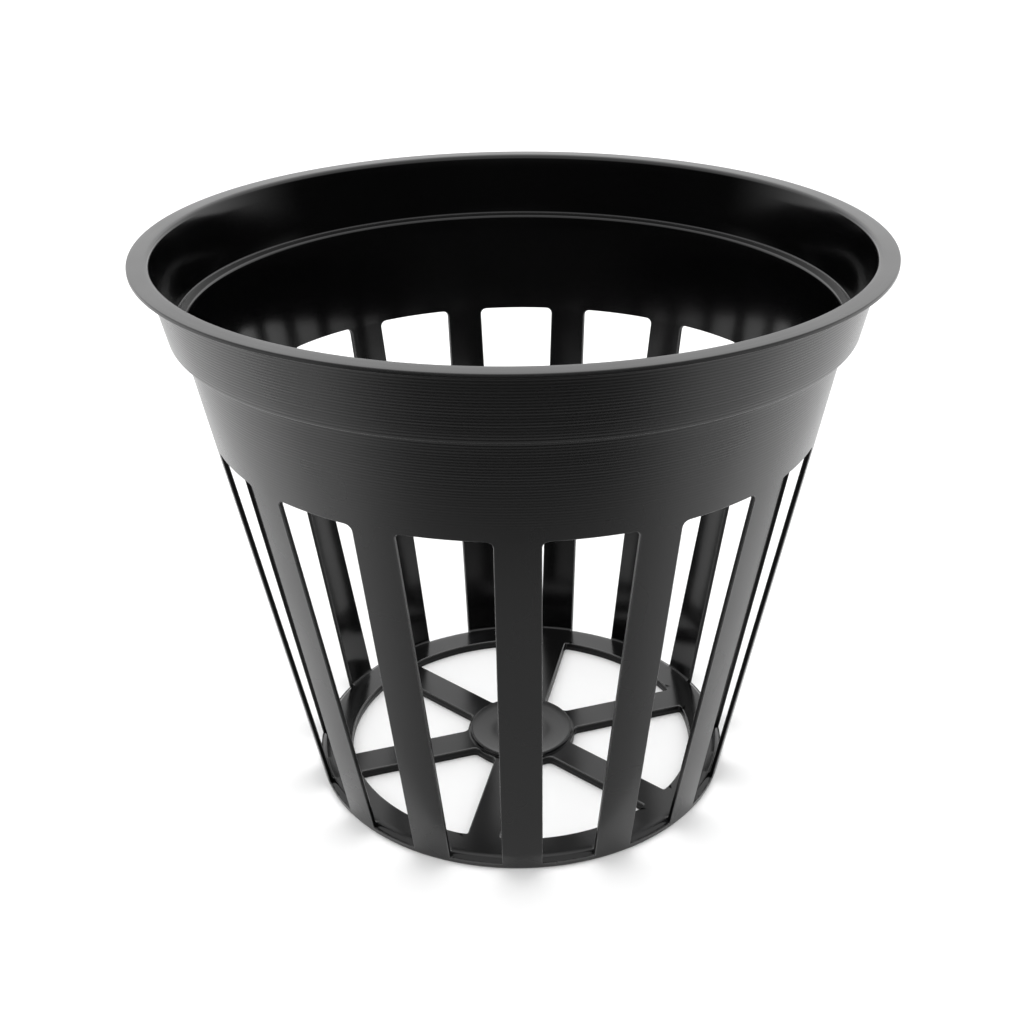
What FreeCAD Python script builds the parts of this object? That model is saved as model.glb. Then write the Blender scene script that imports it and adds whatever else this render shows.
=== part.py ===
import FreeCAD, Part
import math
import os

import Sketcher

# A hydroponic net pot: one thin-walled plastic moulding. A tapered wall of upright bars hangs from a
# solid collar and a flat rim, and stands on a floor ring with spokes and a dished hub.
# Frame: millimetres, +Z up, origin at the centre of the base. A bar faces -Y and a slot faces +Y.

# Driving dimensions. Lengths are millimetres and angles degrees; each is set only here.
SIZES = (
    ("pot_height", 92.0, "base to the top of the rim"),
    ("rim_radius", 57.0, "outer edge of the rim"),
    ("rim_width", 2.4, "how far the rim stands out past the collar"),
    ("rim_thick", 0.6, "thickness of the rim flange"),
    ("mouth_round", 0.8, "rounding from the rim into the mouth"),
    ("wall_thick", 0.8, "thickness of the wall, measured across it"),
    ("collar_depth", 11.0, "top of the rim to the underside of the step"),
    ("collar_flare", 2.2, "how much wider the collar is under the rim than at the step"),
    ("step_width", 1.8, "how far the collar stands out past the wall at the step"),
    ("step_break", 0.4, "chamfer on the collar's lower edge"),
    ("ledge_break", 0.5, "chamfer on the ledge's inner edge"),
    ("base_radius", 35.5, "outside of the wall at the base"),
    ("base_break", 0.4, "chamfer on the outer base edge"),
    ("band_depth", 16.1, "plain band between the step and the slots"),
    ("bar_count", 15, "bars round the wall, one slot between each two"),
    ("bar_width", 6.5, "width of a bar, the same over its length"),
    ("slot_round", 1.0, "rounding of the upper slot corners"),
    ("slot_drop", 0.5, "how far the slots reach below the top of the floor"),
    ("floor_thick", 1.6, "thickness of the floor ring, spokes and hub"),
    ("foot_round", 0.5, "rounding where the bars meet the floor"),
    ("toe_break", 0.35, "chamfer on the floor's edge at the foot of each slot"),
    ("ring_width", 4.9, "width of the floor ring inside the wall"),
    ("spoke_count", 6, "spokes between ring and hub"),
    ("spoke_width", 5.4, "width of a spoke"),
    ("spoke_turn", 12.0, "turn of the first spoke from -Y towards -X"),
    ("hub_radius", 9.5, "outer edge of the hub"),
    ("window_ring_round", 0.45, "rounding of the window corners at the ring"),
    ("window_hub_round", 1.2, "rounding of the window corners at the hub"),
    ("disc_inset", 0.4, "how far the raised disc stays inside the hub's edge"),
    ("disc_rise", 0.6, "height of the raised disc above the floor"),
    ("disc_break", 0.25, "chamfer on the disc's outer edge"),
    ("lip_width", 0.4, "flat lip round the dish in the disc"),
    ("dish_depth", 0.5, "depth of the dish at its flat middle"),
    ("dish_flat", 4.8, "radius of the dish's flat middle"),
)
size = {alias: value for alias, value, _ in SIZES}

# Tolerance for finding an edge by its place.
NEAR = 0.02

doc = FreeCAD.newDocument("net_pot")

sheet = doc.addObject("Spreadsheet::Sheet", "Sizes")
for row, (alias, value, meaning) in enumerate(SIZES, start=1):
    sheet.set(f"A{row}", meaning)
    sheet.set(f"B{row}", str(value))
    sheet.setAlias(f"B{row}", alias)
doc.recompute()

# Places worked out from the sheet, as expressions that several features share.
COLLAR_TOP = "(Sizes.rim_radius - Sizes.rim_width)"
COLLAR_FOOT = f"({COLLAR_TOP} - Sizes.collar_flare)"
WALL_TOP = f"({COLLAR_FOOT} - Sizes.step_width)"
STEP_HEIGHT = "(Sizes.pot_height - Sizes.collar_depth)"
SLOT_HEAD = f"({STEP_HEIGHT} - Sizes.band_depth)"
SLOT_SILL = "(Sizes.floor_thick - Sizes.slot_drop)"
WALL_SLOPE = f"(({WALL_TOP} - Sizes.base_radius) / {STEP_HEIGHT})"
WALL_ACROSS = f"(Sizes.wall_thick * sqrt(1 + {WALL_SLOPE} ^ 2))"
FLOOR_RADIUS = f"(Sizes.base_radius + {WALL_SLOPE} * Sizes.floor_thick - {WALL_ACROSS})"
RING_BORE = f"({FLOOR_RADIUS} - Sizes.ring_width)"
DISC_RADIUS = "(Sizes.hub_radius - Sizes.disc_inset)"
DISH_RADIUS = f"({DISC_RADIUS} - Sizes.lip_width)"
DISC_TOP = "(Sizes.floor_thick + Sizes.disc_rise)"
# The wall's toe reaches in under the floor, far enough to carry the rounding of the foot.
TOE_LENGTH = "(2 * Sizes.foot_round)"

# The same places as numbers, for the first guess of each sketch and to find edges.
rim_under = size["pot_height"] - size["rim_thick"]
step_height = size["pot_height"] - size["collar_depth"]
ledge_height = step_height + size["wall_thick"]
slot_head = step_height - size["band_depth"]
slot_sill = size["floor_thick"] - size["slot_drop"]
collar_top = size["rim_radius"] - size["rim_width"]
collar_foot = collar_top - size["collar_flare"]
wall_top = collar_foot - size["step_width"]
wall_slope = (wall_top - size["base_radius"]) / step_height
wall_across = size["wall_thick"] * math.hypot(1, wall_slope)
collar_slope = size["collar_flare"] / (rim_under - step_height)
collar_across = size["wall_thick"] * math.hypot(1, collar_slope)
floor_radius = size["base_radius"] + wall_slope * size["floor_thick"] - wall_across
ring_bore = floor_radius - size["ring_width"]
disc_radius = size["hub_radius"] - size["disc_inset"]
dish_radius = disc_radius - size["lip_width"]
disc_top = size["floor_thick"] + size["disc_rise"]


def wall_inside(height):
    """Radius of the wall's inner face at a height."""
    return size["base_radius"] + wall_slope * height - wall_across


def collar_inside(height):
    """Radius of the collar's inner face at a height."""
    return collar_foot + collar_slope * (height - step_height) - collar_across


def slot_half_width(height):
    """Half the width of a slot at a height, so that its bars keep their width."""
    radius = size["base_radius"] + wall_slope * height
    half_bar_angle = math.asin(size["bar_width"] / 2 / radius)
    return radius * math.sin(math.pi / size["bar_count"] - half_bar_angle)


def slot_half_width_expression(height):
    """The same half width, as an expression of the sheet."""
    radius = f"(Sizes.base_radius + {WALL_SLOPE} * {height})"
    return f"{radius} * sin(180deg / Sizes.bar_count - asin(Sizes.bar_width / 2 / {radius}))"


def origin_feature(body, role):
    """A plane or axis of the body's own origin."""
    return next(feature for feature in body.Origin.OriginFeatures if feature.Role == role)


def new_sketch(body, name, plane):
    """A sketch on one of the body's origin planes."""
    sketch = body.newObject("Sketcher::SketchObject", name)
    sketch.AttachmentSupport = (origin_feature(body, plane), [""])
    sketch.MapMode = "FlatFace"
    return sketch


def add_outline(sketch, corners):
    """Straight edges through the corners, joined end to end and closed."""
    points = [FreeCAD.Vector(x, y, 0) for x, y in corners]
    for start, end in zip(points, points[1:] + points[:1]):
        sketch.addGeometry(Part.LineSegment(start, end), False)
    for edge in range(len(points)):
        sketch.addConstraint(Sketcher.Constraint("Coincident", edge, 2, (edge + 1) % len(points), 1))


def dimension(sketch, name, expression, kind, *where):
    """A named dimension of the sketch, bound to the sheet."""
    number = sketch.addConstraint(Sketcher.Constraint(kind, *where))
    sketch.renameConstraint(number, name)
    sketch.setExpression(f"Constraints.{name}", expression)


def revolve(body, sketch, name):
    """A full turn of the sketch about the body's Z axis."""
    turned = body.newObject("PartDesign::Revolution", name)
    turned.Profile = sketch
    turned.ReferenceAxis = (origin_feature(body, "Z_Axis"), [""])
    turned.Angle = 360
    sketch.Visibility = False
    body.Tip = turned
    doc.recompute()
    return turned


def repeat_round(body, feature, name, count):
    """The feature repeated evenly round the body's Z axis."""
    before = feature.Shape.Volume
    pattern = body.newObject("PartDesign::PolarPattern", name)
    pattern.Originals = [feature]
    pattern.Axis = (origin_feature(body, "Z_Axis"), [""])
    pattern.Angle = 360
    pattern.setExpression("Occurrences", count)
    body.Tip = pattern
    doc.recompute()
    if pattern.Shape.Volume >= before:
        raise RuntimeError(f"{name} cut nothing")
    return pattern


def cut(body, sketch, name, depth, reversed_cut):
    """A pocket of the sketch, to a depth bound to the sheet."""
    before = body.Shape.Volume
    pocket = body.newObject("PartDesign::Pocket", name)
    pocket.Profile = sketch
    pocket.Type = "Length"
    pocket.Reversed = reversed_cut
    pocket.setExpression("Length", depth)
    sketch.Visibility = False
    body.Tip = pocket
    doc.recompute()
    if pocket.Shape.Volume >= before:
        raise RuntimeError(f"{name} cut nothing")
    return pocket


def dress_edges(body, name, kind, expression, chosen):
    """A Fillet or Chamfer, by kind, on every edge of the body that the test chooses."""
    base = body.Tip
    names = [f"Edge{number}" for number, edge in enumerate(base.Shape.Edges, start=1) if chosen(edge)]
    if not names:
        raise RuntimeError(f"{name} found no edge")
    dressed = body.newObject(f"PartDesign::{kind}", name)
    dressed.Base = (base, names)
    dressed.setExpression("Radius" if kind == "Fillet" else "Size", expression)
    body.Tip = dressed
    doc.recompute()


def near(first, second):
    """Whether two lengths agree."""
    return abs(first - second) < NEAR


def ring_edge(radius, height):
    """A test for a circular edge about the Z axis, at a radius and height."""
    def test(edge):
        if edge.Degenerated or not isinstance(edge.Curve, Part.Circle):
            return False
        centre = edge.Curve.Center
        on_axis = math.hypot(centre.x, centre.y) < NEAR
        return on_axis and near(edge.Curve.Radius, radius) and near(centre.z, height)
    return test


def upright_edge(radius):
    """A test for an edge parallel to Z that stands through the floor at a radius from the axis."""
    def test(edge):
        if edge.Degenerated:
            return False
        low, high = edge.Vertexes[0].Point, edge.Vertexes[-1].Point
        upright = math.hypot(high.x - low.x, high.y - low.y) < NEAR
        tall = near(abs(high.z - low.z), size["floor_thick"])
        return upright and tall and near(math.hypot(low.x, low.y), radius)
    return test


def slot_head_corner(edge):
    """A test for the short edge where a slot's side meets its head."""
    if edge.Degenerated or len(edge.Vertexes) < 2:
        return False
    level = all(near(vertex.Point.z, slot_head) for vertex in edge.Vertexes)
    return level and edge.Length < 2 * wall_across and isinstance(edge.Curve, Part.Line)


def build_shell(body):
    """Wall, step, collar and rim as one turned section, with its rounded edges."""
    mouth = collar_inside(size["pot_height"])
    toe = floor_radius - 2 * size["foot_round"]
    section = new_sketch(body, "ShellSection", "XZ_Plane")
    add_outline(section, (
        (size["base_radius"], 0),
        (wall_top, step_height),
        (collar_foot, step_height),
        (collar_top, rim_under),
        (size["rim_radius"], rim_under),
        (size["rim_radius"], size["pot_height"]),
        (mouth, size["pot_height"]),
        (collar_inside(ledge_height), ledge_height),
        (wall_inside(ledge_height), ledge_height),
        (floor_radius, size["floor_thick"]),
        (toe, size["floor_thick"]),
        (toe, 0),
    ))
    outer_wall, step, outer_collar, flange_under, rim_edge, flange_top = range(6)
    inner_collar, ledge_top, inner_wall, toe_top, toe_end, base = range(6, 12)
    for level in (step, flange_under, flange_top, ledge_top, toe_top, base):
        section.addConstraint(Sketcher.Constraint("Horizontal", level))
    for upright in (rim_edge, toe_end):
        section.addConstraint(Sketcher.Constraint("Vertical", upright))
    section.addConstraint(Sketcher.Constraint("PointOnObject", outer_wall, 1, -1))
    section.addConstraint(Sketcher.Constraint("Parallel", inner_wall, outer_wall))
    section.addConstraint(Sketcher.Constraint("Parallel", inner_collar, outer_collar))
    for name, expression, edge, guess in (
        ("BaseRadius", "Sizes.base_radius", outer_wall, size["base_radius"]),
        ("WallTop", WALL_TOP, step, wall_top),
        ("CollarFoot", COLLAR_FOOT, outer_collar, collar_foot),
        ("CollarTop", COLLAR_TOP, flange_under, collar_top),
        ("RimRadius", "Sizes.rim_radius", rim_edge, size["rim_radius"]),
    ):
        dimension(section, name, expression, "DistanceX", -1, 1, edge, 1, guess)
    dimension(section, "PotHeight", "Sizes.pot_height",
              "DistanceY", -1, 1, flange_top, 1, size["pot_height"])
    dimension(section, "CollarDepth", "Sizes.collar_depth",
              "DistanceY", step, 1, flange_top, 1, size["collar_depth"])
    dimension(section, "RimThick", "Sizes.rim_thick",
              "DistanceY", rim_edge, 1, rim_edge, 2, size["rim_thick"])
    dimension(section, "LedgeThick", "Sizes.wall_thick",
              "DistanceY", step, 1, ledge_top, 1, size["wall_thick"])
    dimension(section, "FloorThick", "Sizes.floor_thick",
              "DistanceY", -1, 1, toe_top, 1, size["floor_thick"])
    dimension(section, "ToeLength", TOE_LENGTH,
              "DistanceX", toe_top, 2, toe_top, 1, 2 * size["foot_round"])
    dimension(section, "WallThick", "Sizes.wall_thick",
              "Distance", inner_wall, 1, outer_wall, size["wall_thick"])
    dimension(section, "CollarThick", "Sizes.wall_thick",
              "Distance", inner_collar, 2, outer_collar, size["wall_thick"])
    revolve(body, section, "Shell")

    for name, kind, expression, radius, height in (
        ("MouthRound", "Fillet", "Sizes.mouth_round", mouth, size["pot_height"]),
        ("StepBreak", "Chamfer", "Sizes.step_break", collar_foot, step_height),
        ("LedgeBreak", "Chamfer", "Sizes.ledge_break", wall_inside(ledge_height), ledge_height),
        ("BaseBreak", "Chamfer", "Sizes.base_break", size["base_radius"], 0),
        ("FootRound", "Fillet", "Sizes.foot_round", floor_radius, size["floor_thick"]),
    ):
        dress_edges(body, name, kind, expression, ring_edge(radius, height))


def build_slots(body):
    """The tall slots between the bars: one cut through the wall, repeated round it."""
    low, high = slot_half_width(slot_sill), slot_half_width(slot_head)
    outline = new_sketch(body, "SlotOutline", "XZ_Plane")
    add_outline(outline, ((-low, slot_sill), (low, slot_sill), (high, slot_head), (-high, slot_head)))
    sill, _, head, _ = range(4)
    for edge in (sill, head):
        outline.addConstraint(Sketcher.Constraint("Symmetric", edge, 1, edge, 2, -2))
    dimension(outline, "SillHeight", SLOT_SILL, "DistanceY", -1, 1, sill, 2, slot_sill)
    dimension(outline, "HeadHeight", SLOT_HEAD, "DistanceY", -1, 1, head, 1, slot_head)
    dimension(outline, "SillHalfWidth", slot_half_width_expression(SLOT_SILL),
              "DistanceX", -1, 1, sill, 2, low)
    dimension(outline, "HeadHalfWidth", slot_half_width_expression(SLOT_HEAD),
              "DistanceX", -1, 1, head, 1, high)
    slot = cut(body, outline, "Slot", "Sizes.rim_radius", False)
    repeat_round(body, slot, "Slots", "Sizes.bar_count")
    dress_edges(body, "SlotRound", "Fillet", "Sizes.slot_round", slot_head_corner)


def build_floor(body):
    """Floor disc with the raised, dished disc of the hub, turned about the axis."""
    dish_low = disc_top - size["dish_depth"]
    dish_flat, dish_side = size["dish_flat"], dish_radius - size["dish_flat"]
    side_radius = (dish_side ** 2 + size["dish_depth"] ** 2) / (2 * size["dish_depth"])
    side_angle = math.asin(dish_side / side_radius)
    section = new_sketch(body, "FloorSection", "XZ_Plane")
    corners = (
        (dish_flat, dish_low),
        (0, dish_low),
        (0, 0),
        (floor_radius, 0),
        (floor_radius, size["floor_thick"]),
        (disc_radius, size["floor_thick"]),
        (disc_radius, disc_top),
        (dish_radius, disc_top),
    )
    points = [FreeCAD.Vector(x, y, 0) for x, y in corners]
    for start, end in zip(points, points[1:]):
        section.addGeometry(Part.LineSegment(start, end), False)
    side_centre = FreeCAD.Vector(dish_flat, dish_low + side_radius, 0)
    circle = Part.Circle(side_centre, FreeCAD.Vector(0, 0, 1), side_radius)
    downward = -math.pi / 2
    section.addGeometry(Part.ArcOfCircle(circle, downward, downward + side_angle), False)
    dish_floor, axis_edge, underside, floor_edge, floor_top, disc_edge, disc_lip, dish_wall = range(8)
    for edge in range(dish_floor, disc_lip):
        section.addConstraint(Sketcher.Constraint("Coincident", edge, 2, edge + 1, 1))
    section.addConstraint(Sketcher.Constraint("Coincident", disc_lip, 2, dish_wall, 2))
    section.addConstraint(Sketcher.Constraint("Coincident", dish_floor, 1, dish_wall, 1))
    section.addConstraint(Sketcher.Constraint("Vertical", dish_wall, 3, dish_wall, 1))
    section.addConstraint(Sketcher.Constraint("PointOnObject", axis_edge, 1, -2))
    section.addConstraint(Sketcher.Constraint("Coincident", axis_edge, 2, -1, 1))
    for edge in (dish_floor, underside, floor_top, disc_lip):
        section.addConstraint(Sketcher.Constraint("Horizontal", edge))
    for edge in (floor_edge, disc_edge):
        section.addConstraint(Sketcher.Constraint("Vertical", edge))
    dimension(section, "FloorRadius", FLOOR_RADIUS, "DistanceX", -1, 1, floor_edge, 1, floor_radius)
    dimension(section, "FloorThick", "Sizes.floor_thick",
              "DistanceY", floor_edge, 1, floor_edge, 2, size["floor_thick"])
    dimension(section, "DiscRadius", DISC_RADIUS, "DistanceX", -1, 1, disc_edge, 1, disc_radius)
    dimension(section, "DiscTop", DISC_TOP, "DistanceY", -1, 1, disc_lip, 1, disc_top)
    dimension(section, "DishRadius", DISH_RADIUS, "DistanceX", -1, 1, disc_lip, 2, dish_radius)
    dimension(section, "DishDepth", "Sizes.dish_depth",
              "DistanceY", axis_edge, 1, disc_lip, 2, size["dish_depth"])
    dimension(section, "DishFlat", "Sizes.dish_flat", "DistanceX", -1, 1, dish_floor, 1, dish_flat)
    revolve(body, section, "Floor")
    dress_edges(body, "ToeBreak", "Chamfer", "Sizes.toe_break",
                ring_edge(floor_radius, size["floor_thick"]))
    dress_edges(body, "DiscBreak", "Chamfer", "Sizes.disc_break", ring_edge(disc_radius, disc_top))


def build_windows(body):
    """The openings between the spokes: one cut through the floor, repeated round the hub."""
    half_pitch = math.pi / size["spoke_count"]
    half_spoke = size["spoke_width"] / 2

    def side_point(radius, side):
        """Where a window's side, +1 or -1 from its middle line, crosses a radius."""
        angle = side * (half_pitch - math.asin(half_spoke / radius))
        return FreeCAD.Vector(radius * math.cos(angle), radius * math.sin(angle), 0)

    # The window's middle line is the sketch's X axis, turned so that a spoke lies where it should.
    outline = new_sketch(body, "WindowOutline", "XY_Plane")
    outline.setExpression("AttachmentOffset.Rotation.Angle",
                          "180 / Sizes.spoke_count - 90 - Sizes.spoke_turn")
    middle, up = FreeCAD.Vector(0, 0, 0), FreeCAD.Vector(0, 0, 1)
    for side in (1, -1):
        at_hub, at_ring = side_point(size["hub_radius"], side), side_point(ring_bore, side)
        outline.addGeometry(Part.LineSegment(at_hub, at_ring), False)
    for radius in (ring_bore, size["hub_radius"]):
        angle = half_pitch - math.asin(half_spoke / radius)
        outline.addGeometry(Part.ArcOfCircle(Part.Circle(middle, up, radius), -angle, angle), False)
    spoke_end = FreeCAD.Vector(ring_bore * math.cos(half_pitch), ring_bore * math.sin(half_pitch), 0)
    outline.addGeometry(Part.LineSegment(middle, spoke_end), True)
    upper_side, lower_side, ring_arc, hub_arc, spoke_line = range(5)
    for side, arc_end in ((upper_side, 2), (lower_side, 1)):
        outline.addConstraint(Sketcher.Constraint("Coincident", side, 1, hub_arc, arc_end))
        outline.addConstraint(Sketcher.Constraint("Coincident", side, 2, ring_arc, arc_end))
    for arc in (ring_arc, hub_arc):
        outline.addConstraint(Sketcher.Constraint("Coincident", arc, 3, -1, 1))
        outline.addConstraint(Sketcher.Constraint("Symmetric", arc, 1, arc, 2, -1))
    outline.addConstraint(Sketcher.Constraint("Coincident", spoke_line, 1, -1, 1))
    outline.addConstraint(Sketcher.Constraint("PointOnObject", spoke_line, 2, ring_arc))
    outline.addConstraint(Sketcher.Constraint("Parallel", upper_side, spoke_line))
    dimension(outline, "SpokeAngle", "180 / Sizes.spoke_count",
              "Angle", -1, 1, spoke_line, 1, half_pitch)
    dimension(outline, "HalfSpoke", "Sizes.spoke_width / 2",
              "Distance", upper_side, 1, spoke_line, half_spoke)
    dimension(outline, "RingBore", RING_BORE, "Radius", ring_arc, ring_bore)
    dimension(outline, "HubRadius", "Sizes.hub_radius", "Radius", hub_arc, size["hub_radius"])
    window = cut(body, outline, "Window", "Sizes.floor_thick", True)
    repeat_round(body, window, "Windows", "Sizes.spoke_count")
    dress_edges(body, "WindowRingRound", "Fillet", "Sizes.window_ring_round", upright_edge(ring_bore))
    dress_edges(body, "WindowHubRound", "Fillet", "Sizes.window_hub_round",
                upright_edge(size["hub_radius"]))


pot = doc.addObject("PartDesign::Body", "NetPot")
pot.Label = "net_pot"
pot.Placement = FreeCAD.Placement()
build_shell(pot)
build_slots(pot)
build_floor(pot)
build_windows(pot)
doc.recompute()

failed = [item.Name for item in doc.Objects if {"Invalid", "Error"} & set(item.State)]
if failed:
    raise RuntimeError("failed objects: " + ", ".join(failed))
if pot.Shape.isNull() or not pot.Shape.isValid() or len(pot.Shape.Solids) != 1:
    raise RuntimeError("net_pot is not one valid solid")

os.makedirs("parts", exist_ok=True)
pot.Shape.exportStep("parts/net_pot.step")
print("net_pot volume %.1f mm3" % pot.Shape.Volume, pot.Shape.BoundBox)
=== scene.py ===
"""A hydroponic net pot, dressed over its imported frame.

The pot is one black plastic moulding: a flat rim, a solid collar and band, a tapered wall of
upright bars with a slot between each two, and a floor ring with spokes and a dished hub.
It is made here as one closed skin. Every part of the skin is a grid of points worked out from
the pot's own sizes, and the grids share the points where they meet, so they weld into one mesh.

Sizes are in millimetres until the mesh is made, and the finished mesh is in metres.
"""

import logging
import math
from dataclasses import dataclass, field
from enum import Enum, IntFlag
from typing import Any, Sequence, Union

import bmesh
import bpy
import numpy as np
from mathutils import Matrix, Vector


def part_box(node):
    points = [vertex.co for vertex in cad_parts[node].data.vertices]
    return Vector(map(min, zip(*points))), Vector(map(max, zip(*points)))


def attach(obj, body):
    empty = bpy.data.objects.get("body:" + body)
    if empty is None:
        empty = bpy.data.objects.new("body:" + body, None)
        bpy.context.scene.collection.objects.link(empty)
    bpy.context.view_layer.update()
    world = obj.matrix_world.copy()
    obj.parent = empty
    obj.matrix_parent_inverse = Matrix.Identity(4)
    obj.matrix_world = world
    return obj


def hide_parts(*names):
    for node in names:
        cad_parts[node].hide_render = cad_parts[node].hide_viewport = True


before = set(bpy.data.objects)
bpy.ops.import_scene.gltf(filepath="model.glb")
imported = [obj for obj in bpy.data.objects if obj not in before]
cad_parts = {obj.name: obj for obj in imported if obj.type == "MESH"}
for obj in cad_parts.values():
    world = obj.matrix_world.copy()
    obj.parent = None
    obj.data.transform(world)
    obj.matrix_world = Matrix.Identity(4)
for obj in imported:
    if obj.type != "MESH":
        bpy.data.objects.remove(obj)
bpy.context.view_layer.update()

LOG = logging.getLogger("net_pot")
MM = 0.001
WELD = 0.001  # points nearer than about this, in millimetres, are one point
WHITE = (1.0, 1.0, 1.0, 1.0)
SHARP = 38  # faces that meet at more than this, in degrees, are shaded apart


# Sizes ---------------------------------------------------------------------------------------


@dataclass(frozen=True)
class PotSizes:
    """The pot's dimensions in millimetres, the same as the frame's, and what follows from them."""

    pot_height: float = 92.0
    rim_radius: float = 57.0
    rim_width: float = 2.4
    rim_thick: float = 0.6
    mouth_round: float = 0.8
    wall_thick: float = 0.8
    collar_depth: float = 11.0
    collar_flare: float = 2.2
    step_width: float = 1.8
    base_radius: float = 35.5
    band_depth: float = 16.1
    bar_count: int = 15
    bar_width: float = 6.5
    slot_round: float = 1.0
    slot_drop: float = 0.5
    floor_thick: float = 1.6
    foot_round: float = 0.5
    ring_width: float = 4.9
    spoke_count: int = 6
    spoke_width: float = 5.4
    spoke_turn: float = 12.0
    hub_radius: float = 9.5
    window_ring_round: float = 0.45
    window_hub_round: float = 1.2
    disc_inset: float = 0.4
    disc_rise: float = 0.6
    lip_width: float = 0.4
    dish_depth: float = 0.5
    dish_flat: float = 4.8

    @classmethod
    def from_frame(cls, node: str) -> "PotSizes":
        """Sizes whose height and width are those of a node of the frame.

        Args:
            node: Name of the frame's node.

        Returns:
            The sizes.
        """
        low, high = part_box(node)
        return cls(pot_height=(high.z - low.z) / MM, rim_radius=(high.x - low.x) / 2 / MM)

    @property
    def rim_under(self) -> float:
        """Height of the rim flange's underside."""
        return self.pot_height - self.rim_thick

    @property
    def step_height(self) -> float:
        """Height of the collar's lower edge."""
        return self.pot_height - self.collar_depth

    @property
    def ledge_height(self) -> float:
        """Height of the ledge inside the collar, on which a stacked pot rests."""
        return self.step_height + self.wall_thick

    @property
    def slot_head(self) -> float:
        """Height of the slots' upper end."""
        return self.step_height - self.band_depth

    @property
    def slot_sill(self) -> float:
        """Height of the slots' lower end."""
        return self.floor_thick - self.slot_drop

    @property
    def collar_top(self) -> float:
        """Radius of the collar's outside under the rim."""
        return self.rim_radius - self.rim_width

    @property
    def collar_foot(self) -> float:
        """Radius of the collar's outside at the step."""
        return self.collar_top - self.collar_flare

    @property
    def wall_top(self) -> float:
        """Radius of the wall's outside under the step."""
        return self.collar_foot - self.step_width

    @property
    def wall_slope(self) -> float:
        """How much the wall's radius grows per millimetre of height."""
        return (self.wall_top - self.base_radius) / self.step_height

    @property
    def collar_slope(self) -> float:
        """How much the collar's radius grows per millimetre of height."""
        return self.collar_flare / (self.rim_under - self.step_height)

    @property
    def bar_pitch(self) -> float:
        """Angle from one bar to the next, in radians."""
        return 2 * math.pi / self.bar_count

    @property
    def spoke_pitch(self) -> float:
        """Angle from one spoke to the next, in radians."""
        return 2 * math.pi / self.spoke_count

    @property
    def floor_radius(self) -> float:
        """Radius of the wall's inside at the top of the floor."""
        return float(self.wall_inside(self.floor_thick))

    @property
    def ring_bore(self) -> float:
        """Inner radius of the floor ring, where the windows start."""
        return self.floor_radius - self.ring_width

    @property
    def disc_radius(self) -> float:
        """Radius of the raised disc on the hub."""
        return self.hub_radius - self.disc_inset

    @property
    def disc_top(self) -> float:
        """Height of the disc's lip."""
        return self.floor_thick + self.disc_rise

    def wall_outside(self, height: Union[float, np.ndarray]) -> Union[float, np.ndarray]:
        """Radius of the wall's outer face at a height: the base radius plus slope by height."""
        return self.base_radius + self.wall_slope * height

    def wall_inside(self, height: Union[float, np.ndarray]) -> Union[float, np.ndarray]:
        """Radius of the wall's inner face: the outer one less the wall measured level."""
        return self.wall_outside(height) - self.wall_thick * math.hypot(1, self.wall_slope)

    def collar_inside(self, height: float) -> float:
        """Radius of the collar's inner face at a height."""
        outside = self.collar_foot + self.collar_slope * (height - self.step_height)
        return outside - self.wall_thick * math.hypot(1, self.collar_slope)


class Zone(Enum):
    """The surfaces of the moulding, each with its own finish."""

    OUTSIDE = 0
    RIM = 1
    INSIDE = 2
    FLOOR = 3
    CUT = 4
    UNDER = 5
    EDGE = 6


class Line(IntFlag):
    """Edges of the moulding that are finely rounded."""

    NONE = 0
    SLOT_OUTER = 1
    SLOT_INNER = 2
    WINDOW_TOP = 4
    WINDOW_FOOT = 8


# Shapes on grids -----------------------------------------------------------------------------


def turned(radius: np.ndarray, height: np.ndarray, azimuth: np.ndarray) -> np.ndarray:
    """Points round the pot's axis.

    x is the radius by the sine of the azimuth, and y is minus the radius by its cosine, so that
    azimuth nought is the side of the first bar.

    Args:
        radius: Radii, which broadcast with the others.
        height: Heights.
        azimuth: Azimuths in radians.

    Returns:
        Points, with one more axis of three.
    """
    radius, height, azimuth = np.broadcast_arrays(radius, height, azimuth)
    return np.stack((radius * np.sin(azimuth), -radius * np.cos(azimuth), height), axis=-1)


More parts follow.
